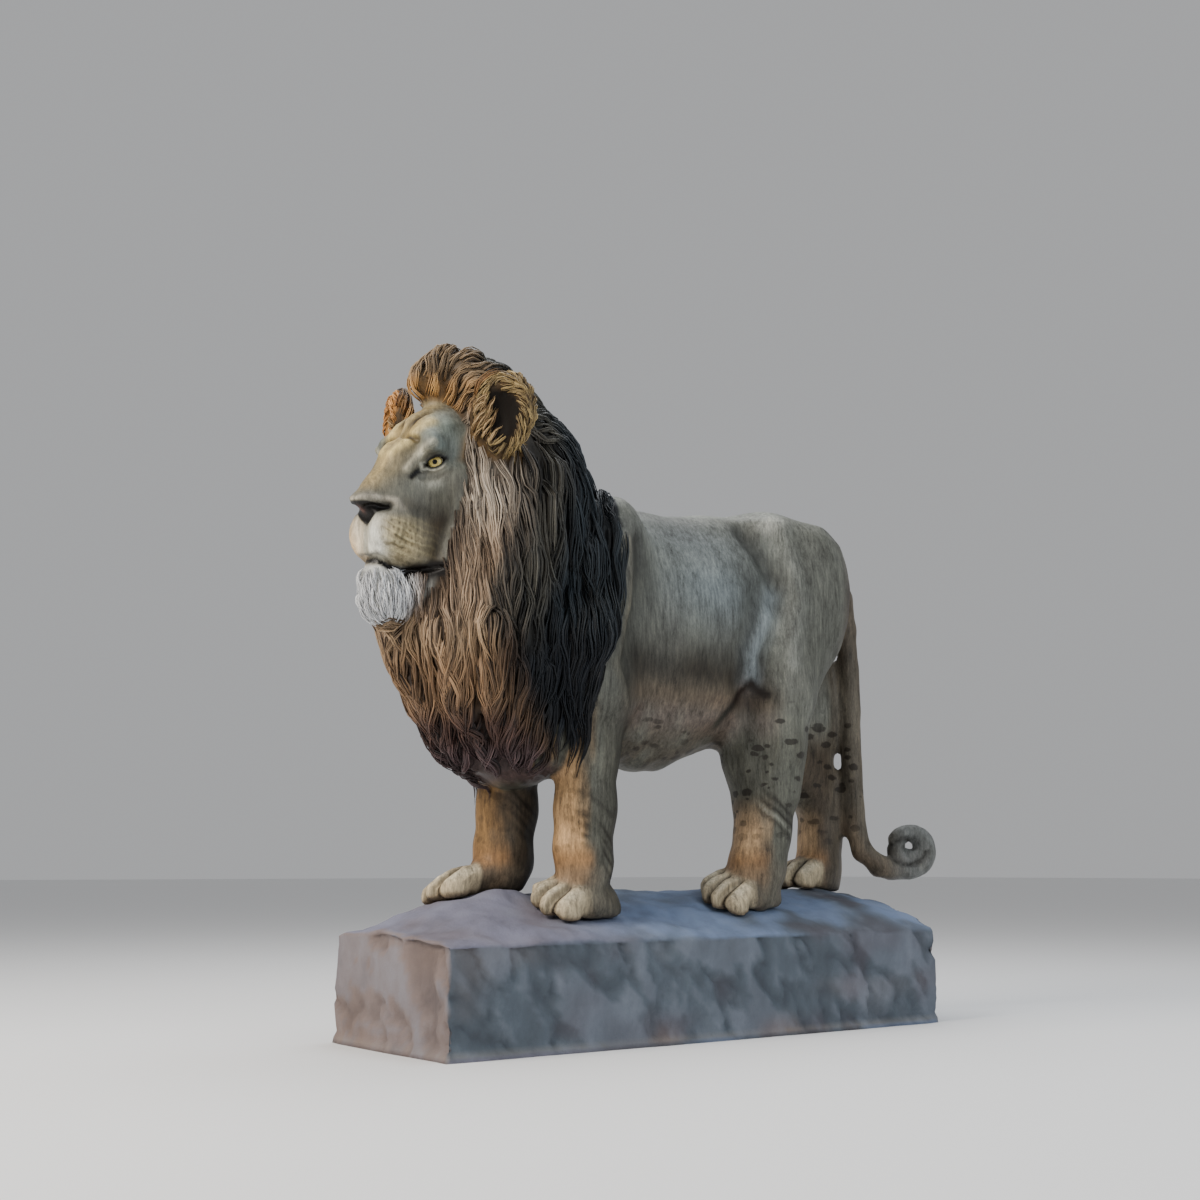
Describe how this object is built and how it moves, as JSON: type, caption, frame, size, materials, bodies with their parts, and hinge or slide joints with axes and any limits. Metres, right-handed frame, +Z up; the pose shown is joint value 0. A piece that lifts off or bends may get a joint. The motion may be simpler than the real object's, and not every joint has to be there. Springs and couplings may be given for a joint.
{
  "type": "lion statue",
  "caption": "Life-size male lion standing with its head turned, a full wavy mane and a curled tail, cast and painted, on an oblong base shaped as rough-hewn rock.",
  "frame": {"origin": "middle of the rock base's flat underside", "axes": "+Z up, -Y the way the lion faces, +X the lion's left side"},
  "size_m": [0.6111, 2.0471, 1.8492],
  "materials": {
    "lion_paint": "satin hand-painted coat over cast glass-fibre resin",
    "rock_paint": "matt stone-effect paint over cast glass-fibre resin"
  },
  "bodies": {
    "root": {"lion": "lion_paint", "rock_base": "rock_paint"}
  },
  "joints": []
}
